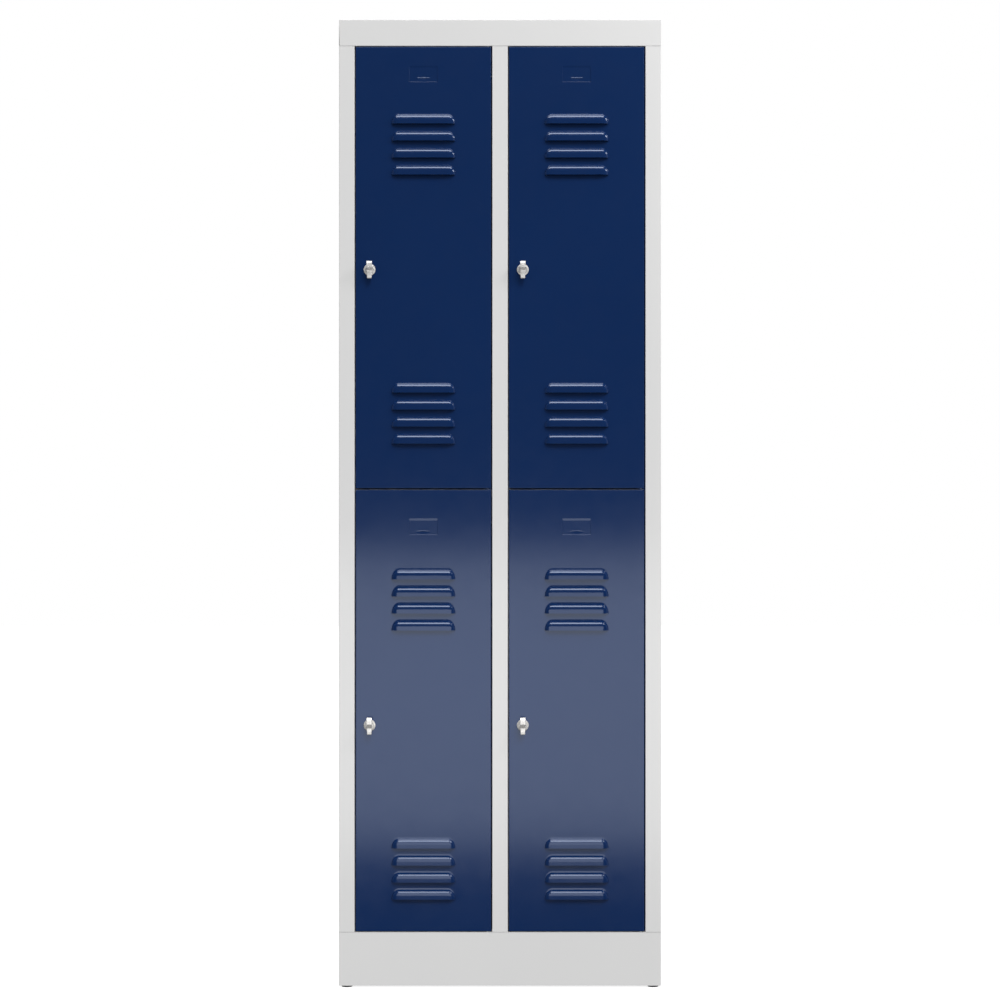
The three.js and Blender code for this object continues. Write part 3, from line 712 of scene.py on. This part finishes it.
def dividing_shelf(side):
    xs, (y0, y1), (z0, z1) = cabinet_box(f"dividing_shelf_{side}")
    profile = folded([(y0 + 14, z0), (y0, z0), (y0, z1), (y1, z1), (y1, z0)])
    return across(profile, xs)


def glide(node):
    (x0, x1), (y0, y1), (z0, z1) = cabinet_box(node)
    radius = (x1 - x0) / 2
    cx, cy = (x0 + x1) / 2, (y0 + y1) / 2
    profile = softened(
        [(0, z0), (radius, z0), (radius, -0.3), (4, -0.3), (4, 1.3), (5, 2.1), (3, z1), (0, z1)], 0.7
    )
    return turned(profile, lambda a, b, h: (cx + a, cy + b, h))


def coat_rail(node):
    (x0, x1), (y0, y1), (z0, z1) = cabinet_box(node)
    cy, cz, radius = (y0 + y1) / 2, (z0 + z1) / 2, (z1 - z0) / 2
    profile = softened(
        [
            (7, x0),
            (radius, x0),
            (radius, x0 + 1.2),
            (10, x0 + 2.4),
            (8, x0 + 5),
            (8, x1 - 5),
            (10, x1 - 2.4),
            (radius, x1 - 1.2),
            (radius, x1),
            (7, x1),
        ],
        0.8,
        closed=True,
    )
    return turned(profile[::-1], lambda a, b, h: (h, cy + a, cz + b), closed=True)


def upright_rod(node, ends=0.6):
    """A pin seen as its CAD box: a shank with chamfered ends, and its head if it has one."""
    (x0, x1), (y0, y1), (z0, z1) = cabinet_box(node)
    cx, cy, head = (x0 + x1) / 2, (y0 + y1) / 2, (x1 - x0) / 2
    shank, head_height = 2.5, 2
    low_head = head > shank + 0.1 and node.startswith("hinge_pin_bottom")
    high_head = head > shank + 0.1 and node.startswith("hinge_pin_top")
    foot = [(shank - ends, z0), (shank, z0 + ends)]
    if low_head:
        foot = [(head, z0), (head, z0 + head_height), (shank, z0 + head_height)]
    top = [(shank, z1 - ends), (shank - ends, z1)]
    if high_head:
        top = [(shank, z1 - head_height), (head, z1 - head_height), (head, z1)]
    profile = [(0, z0), *foot, *top, (0, z1)]
    return turned(softened(profile, 0.4), lambda a, b, h: (cx + a, cy + b, h), 28)


def pivot_plate(node):
    (x0, x1), (y0, y1), (z0, z1) = cabinet_box(node)
    plate_thickness, round_nose = 1.5, 4
    depths = (3.0, y1)
    corner = [
        (x0 + round_nose * (1 - math.cos(a)), y1 - round_nose * (1 - math.sin(a)))
        for a in spaced(0, math.pi / 2, 6)
    ]
    nose = [(x0, y0), *corner, (x1, y1), (x1, depths[0]), (x0 + 15.5, depths[0]), (x0 + 12, y0)]
    tab = box_shape((x1 - plate_thickness, x1), depths, (z0, z1 - plate_thickness + 0.1))
    return together(upright(nose[::-1], (z1 - plate_thickness, z1)), tab)


# ---- Doors ---------------------------------------------------------------------------------


def door_stiffener(node):
    (x0, x1), (y0, y1), span = cabinet_box(node)
    sole, foot = 8.0, y0 + SHEET
    plan = folded([
        (x0, foot),
        (x0 + sole, foot),
        (x0 + sole, y1),
        (x1 - sole, y1),
        (x1 - sole, foot),
        (x1, foot),
    ])
    return upright(plan, span)


def hinge_bush(node):
    (x0, x1), (y0, y1), (z0, z1) = cabinet_box(node)
    cx, cy, radius = (x0 + x1) / 2, (y0 + y1) / 2, (x1 - x0) / 2
    bore, neck, neck_height, length = 2.65, 3.4, 1.7, z1 - z0
    profile = [
        (bore, 0),
        (neck, 0),
        (neck, neck_height),
        (radius, neck_height),
        (radius, length),
        (bore, length),
    ]
    profile = softened(profile, 0.35, closed=True)
    if "top" in node:
        return turned(profile, lambda a, b, h: (cx - a, cy + b, z1 - h), 32, closed=True)
    return turned(profile, lambda a, b, h: (cx + a, cy + b, z0 + h), 32, closed=True)


def latch_centre(node):
    (x0, x1), _, (z0, z1) = cabinet_box(node)
    return (x0 + x1) / 2, (z0 + z1) / 2


def latch_body(node):
    cx, cz = latch_centre(node)
    outer = 11.0
    profile = [
        (3.8, -3.0),
        (5.6, -3.0),
        (6.1, -1.3),
        (7.3, -1.3),
        (7.8, -3.1),
        (8.6, -3.1),
        (9.1, -2.3),
        (outer - 0.5, -1.9),
        (outer, -1.2),
        (outer, -0.1),
        (6.5, -0.1),
        (6.5, 17.0),
        (3.8, 17.0),
    ]
    profile = softened(profile, 0.3, closed=True)
    return turned(profile, lambda a, b, h: (cx - a, h, cz + b), 64, closed=True)


def latch_nut(node):
    cx, cz = latch_centre(node)
    _, (y0, y1), _ = cabinet_box(node)
    reach, bore = 10.3, 6.6
    turns = spaced(math.pi / 6, 13 * math.pi / 6, 6)[:-1]
    corners = [(cx + reach * math.cos(a), cz + reach * math.sin(a)) for a in turns]
    hexagon = [tuple(p) for p in rounded_path([corners[-1], *corners, corners[0]], 0.8, 3)[1:-1]]
    return plate([hexagon, circle(cx, cz, bore, 40, True)], y0, y1, 0.4, lambda u, v, w: (u, w, v))


TAIL_NARROWING = 0.17
TAIL_TOP = 6.5
TAIL_TAPER = 4.0


def latch_lever(node):
    """Turning lever: a padlock eye in the standing head, a hub, and a tail that kicks out at its foot."""
    cx, _ = latch_centre(node)
    (x0, x1), (proud, behind), (_, z1) = cabinet_box(node)
    cz = z1 - 15.0
    half = (x1 - x0) / 2
    side = [
        (-3.4, -1.0),
        (-3.4, -9.0),
        (-5.0, -15.2),
        (-9.2, -17.0),
        (-12.9, -16.7),
        (-13.8, -15.6),
        (-13.1, -11.8),
        (-13.0, -5.0),
        (-14.4, -1.4),
        (proud + 0.4, 2.6),
        (proud + 0.4, 11.2),
        (-17.2, 15.0),
        (-8.0, 15.0),
        (-7.2, 14.2),
        (-7.2, 4.2),
        (-6.4, 3.2),
        (-3.4, 2.6),
    ]
    outline = [tuple(p) for p in rounded_path([side[-1], *side, side[0]], 0.7, 3)[1:-1]]
    loop = [(y, cz + z) for y, z in outline]
    area = sum(a[0] * b[1] - b[0] * a[1] for a, b in zip(loop, loop[1:] + loop[:1]))
    loop = loop if area > 0 else loop[::-1]
    eye = circle(proud + 6.0, cz + 7.5, 3.6, 32, True)

    def narrowed(y, z, x):
        share = 1 - TAIL_NARROWING * min(max((cz - TAIL_TOP - z) / TAIL_TAPER, 0.0), 1.0)
        return (cx + (x - cx) * share, y, z)

    blade = plate([loop, eye], cx - half, cx + half, 0.9, narrowed)
    hub = softened([(0, -9.0), (5.6, -9.0), (5.9, -3.3), (0, -3.3)], 0.4)
    flare = behind - 1.6
    spindle = [(0, -5.0), (3.5, -5.0), (3.5, flare), (4.8, flare), (4.2, behind), (0, behind)]
    spindle = softened(spindle, 0.4)
    rivet = [(0, proud + 2.0), (0.9, proud + 1.8), (1.3, proud), (2.0, proud), (2.3, proud + 0.6)]
    rivet = softened(rivet, 0.2)
    return together(
        blade,
        turned(rivet[::-1], lambda a, b, h: (cx + a, h, cz + 5.6 + b), 24),
        turned(hub, lambda a, b, h: (cx - a, h, cz + b), 40),
        turned(spindle, lambda a, b, h: (cx - a, h, cz + b), 32),
    )


def latch_cam(node):
    cx, _ = latch_centre(node)
    _, (y0, y1), (z0, z1) = cabinet_box(node)
    cz = z1 - 8.0
    head = [(8 * math.cos(a), 8 * math.sin(a)) for a in spaced(-0.12, math.pi + 0.12, 20)]
    foot = [(-6.2, -32.0), (-4.6, -35.4), (-3.2, -36.0), (3.2, -36.0), (4.6, -35.4), (6.2, -32.0)]
    loop = [(cx + x, cz + z) for x, z in head + foot]
    square = 3.6
    hole = [(cx + x * square, cz + z * square) for x, z in ((-1, -1), (-1, 1), (1, 1), (1, -1))]
    return plate([loop, hole], y0, y1, 0.35, lambda u, v, w: (u, w, v))


DOORS = {
    "upper_left": (0.0, 0.0),
    "upper_right": (0.0, 0.0),
    "lower_left": (LOWER_DOOR_DROP, LOWER_LABEL_DROP),
    "lower_right": (LOWER_DOOR_DROP, LOWER_LABEL_DROP),
}
DOOR_WIDTH = cabinet_box("door_panel_upper_left")[0][1] - cabinet_box("door_panel_upper_left")[0][0]

for panel, shape in (
    ("left_side_panel", left_side_panel()),
    ("right_side_panel", right_side_panel()),
    ("centre_mullion", centre_mullion()),
    ("centre_partition", centre_partition()),
    ("back_panel", back_panel()),
    ("floor_panel", floor_panel()),
    ("plinth_frame", plinth_frame()),
    ("plinth_rear_rail", plinth_rear_rail()),
):
    show(f"{panel}_skin", panel, shape, GREY)

show("roof_panel_skin", "roof_panel", roof_panel(), GREY, thickness=SHEET)

for corner in ("front_left", "front_right", "rear_left", "rear_right"):
    show(f"glide_{corner}_pad", f"glide_{corner}", glide(f"glide_{corner}"), BLACK)

for side in ("left", "right"):
    show(f"dividing_shelf_{side}_skin", f"dividing_shelf_{side}", dividing_shelf(side), GREY)
    pivot = f"pivot_plate_{side}"
    show(f"{pivot}_skin", pivot, pivot_plate(pivot), BLUE, bevel=0.2)
    for end in ("top", "middle", "bottom"):
        pin = f"hinge_pin_{end}_{side}"
        show(f"{pin}_skin", pin, upright_rod(pin), ZINC)

for door, (drop, label_drop) in DOORS.items():
    (x0, x1), _, (foot, head) = cabinet_box(f"door_panel_{door}")
    lips = sorted(
        top - i * LOUVRE_PITCH - drop - foot for top in UPPER_LOUVRE_GROUPS for i in range(LOUVRES_PER_GROUP)
    )
    skin = door_skin((x0 + x1) / 2, foot, head - foot, lips, UPPER_LABEL - label_drop - foot)
    show(f"door_panel_{door}_skin", f"door_panel_{door}", skin, BLUE, thickness=SHEET)
    for part, shape_of, material, bevel in (
        ("door_stiffener", door_stiffener, BLUE, 0),
        ("hinge_bush_bottom", hinge_bush, NYLON, 0),
        ("hinge_bush_top", hinge_bush, NYLON, 0),
        ("latch_body", latch_body, LATCH_METAL, 0),
        ("latch_nut", latch_nut, ZINC, 0),
        ("latch_lever", latch_lever, LATCH_METAL, 0),
        ("latch_cam", latch_cam, ZINC, 0),
        ("coat_rail", coat_rail, RAIL_METAL, 0),
    ):
        node = f"{part}_{door}"
        show(f"{node}_skin", node, shape_of(node), material, bevel=bevel)

# ---- Studio --------------------------------------------------------------------------------

FLOOR_REACH = 14.0
CAMERA_DISTANCE = 5.0
PICTURE_WIDTH = 1.8634
PICTURE_MIDDLE = 905.0
FILL_ABOVE = 0.80
FILL_BELOW = 0.44
REFLECTED_SURROUND = 0.05


def studio_floor():
    mesh = bpy.data.meshes.new("studio_floor")
    r = FLOOR_REACH
    mesh.from_pydata([(-r, -r, 0), (r, -r, 0), (r, r, 0), (-r, r, 0)], [], [[0, 1, 2, 3]])
    floor = bpy.data.objects.new("studio_floor", mesh)
    bpy.context.scene.collection.objects.link(floor)
    n = Nodes("pale_floor")
    n.shader.inputs["Base Color"].default_value = (0.35, 0.35, 0.35, 1)
    n.shader.inputs["Roughness"].default_value = 0.9
    n.shader.inputs["Specular IOR Level"].default_value = 0.1
    n.shader.inputs["Emission Color"].default_value = (1, 1, 1, 1)
    n.shader.inputs["Emission Strength"].default_value = 0.8
    mesh.materials.append(n.material)
    floor.visible_glossy = False
    floor.visible_diffuse = False


def aimed(name, data, at, target, lit):
    """Adds a light that aims from one point at another and lights only diffuse, glossy or both."""
    lamp = bpy.data.objects.new(name, data)
    lamp.location = at
    lamp.rotation_euler = (Vector(target) - Vector(at)).to_track_quat("-Z", "Y").to_euler()
    lamp.visible_camera = False
    lamp.visible_diffuse = "diffuse" in lit
    lamp.visible_glossy = "glossy" in lit
    bpy.context.scene.collection.objects.link(lamp)


def softbox(name, at, target, size, radiance, lit=("diffuse", "glossy")):
    """A rectangular area light, in metres, with an even brightness over its face."""
    data = bpy.data.lights.new(name, "AREA")
    data.shape = "RECTANGLE"
    data.size, data.size_y = size
    data.energy = radiance * size[0] * size[1] * math.pi
    aimed(name, data, at, target, lit)


def broad_key(name, at, target, strength, spread_degrees):
    """A distant key light, wide enough for soft shadows and even over the whole height."""
    data = bpy.data.lights.new(name, "SUN")
    data.energy = strength
    data.angle = math.radians(spread_degrees)
    aimed(name, data, at, target, ("diffuse",))


def world():
    """White to the camera, an even diffuse fill, and reflections that darken towards the front."""
    scene_world = bpy.data.worlds.new("studio")
    scene_world.use_nodes = True
    tree = scene_world.node_tree
    tree.nodes.clear()

    def background(level):
        node = tree.nodes.new("ShaderNodeBackground")
        node.inputs["Color"].default_value = (1, 1, 1, 1)
        node.inputs["Strength"].default_value = level
        return node

    def chosen(factor, first, second):
        mix = tree.nodes.new("ShaderNodeMixShader")
        tree.links.new(factor, mix.inputs["Fac"])
        tree.links.new(first, mix.inputs[1])
        tree.links.new(second, mix.inputs[2])
        return mix.outputs["Shader"]

    direction = tree.nodes.new("ShaderNodeTexCoord").outputs["Generated"]
    parts = tree.nodes.new("ShaderNodeSeparateXYZ")
    tree.links.new(direction, parts.inputs["Vector"])
    reflected = background(0.0)
    ramp = tree.nodes.new("ShaderNodeMapRange")
    ramp.interpolation_type = "SMOOTHSTEP"
    ramp.inputs["From Min"].default_value = -0.85
    ramp.inputs["From Max"].default_value = -0.1
    ramp.inputs["To Min"].default_value = 0.01
    ramp.inputs["To Max"].default_value = REFLECTED_SURROUND
    tree.links.new(parts.outputs["Y"], ramp.inputs["Value"])
    tree.links.new(ramp.outputs["Result"], reflected.inputs["Strength"])
    path = tree.nodes.new("ShaderNodeLightPath").outputs
    fill = background(0.0)
    rise = tree.nodes.new("ShaderNodeMapRange")
    rise.inputs["From Min"].default_value = -0.3
    rise.inputs["From Max"].default_value = 0.3
    rise.inputs["To Min"].default_value = FILL_BELOW
    rise.inputs["To Max"].default_value = FILL_ABOVE
    tree.links.new(parts.outputs["Z"], rise.inputs["Value"])
    tree.links.new(rise.outputs["Result"], fill.inputs["Strength"])
    unseen = chosen(path["Is Glossy Ray"], fill.outputs[0], reflected.outputs[0])
    seen = chosen(path["Is Camera Ray"], unseen, background(1.0).outputs[0])
    output = tree.nodes.new("ShaderNodeOutputWorld")
    tree.links.new(seen, output.inputs["Surface"])
    bpy.context.scene.world = scene_world


def camera():
    data = bpy.data.cameras.new("camera")
    data.sensor_width = 36.0
    data.lens = data.sensor_width * CAMERA_DISTANCE / PICTURE_WIDTH
    data.dof.use_dof = False
    obj = bpy.data.objects.new("camera", data)
    aim = place(0, 0, PICTURE_MIDDLE)
    obj.location = aim - Vector((0, CAMERA_DISTANCE, 0))
    obj.rotation_euler = (math.pi / 2, 0, 0)
    bpy.context.scene.collection.objects.link(obj)
    bpy.context.scene.camera = obj


studio_floor()
world()
camera()

front = FRONT * MM
broad_key("broad_key", (1.1, front - 3.0, 4.6), (0, front, 1.0), 1.9, 25)
broad_key("rear_key", (-1.3, front + 4.0, 2.6), (0, front, 1.0), 1.1, 35)
softbox("rear_softbox", (-0.9, front + 2.6, 1.9), (0, front + 0.5, 0.9), (1.2, 1.2), 1.4, ("glossy",))
softbox("low_softbox", (0, front - 1.6, 0.4176), (0, front, 0.4176), (1.5, 0.7253), 2.3, ("glossy",))
softbox("overhead", (0, front - 0.745, 2.6), (0, front - 0.745, 0), (1.4, 1.41), 7.0, ("glossy",))
softbox("accent", (1.3, front - 0.6, 2.2), (0.1, front, 1.6), (0.4, 0.4), 16.0)
for side, radiance in ((-1, 0.12), (1, 0.3)):
    at = (side * 1.8, front - 0.2, 1.2)
    softbox(f"side_softbox_{side + 1}", at, (0, front - 0.2, 1.2), (1.8, 2.4), radiance, ("glossy",))

bpy.context.scene.view_settings.view_transform = "Standard"
bpy.context.scene.view_settings.look = "None"
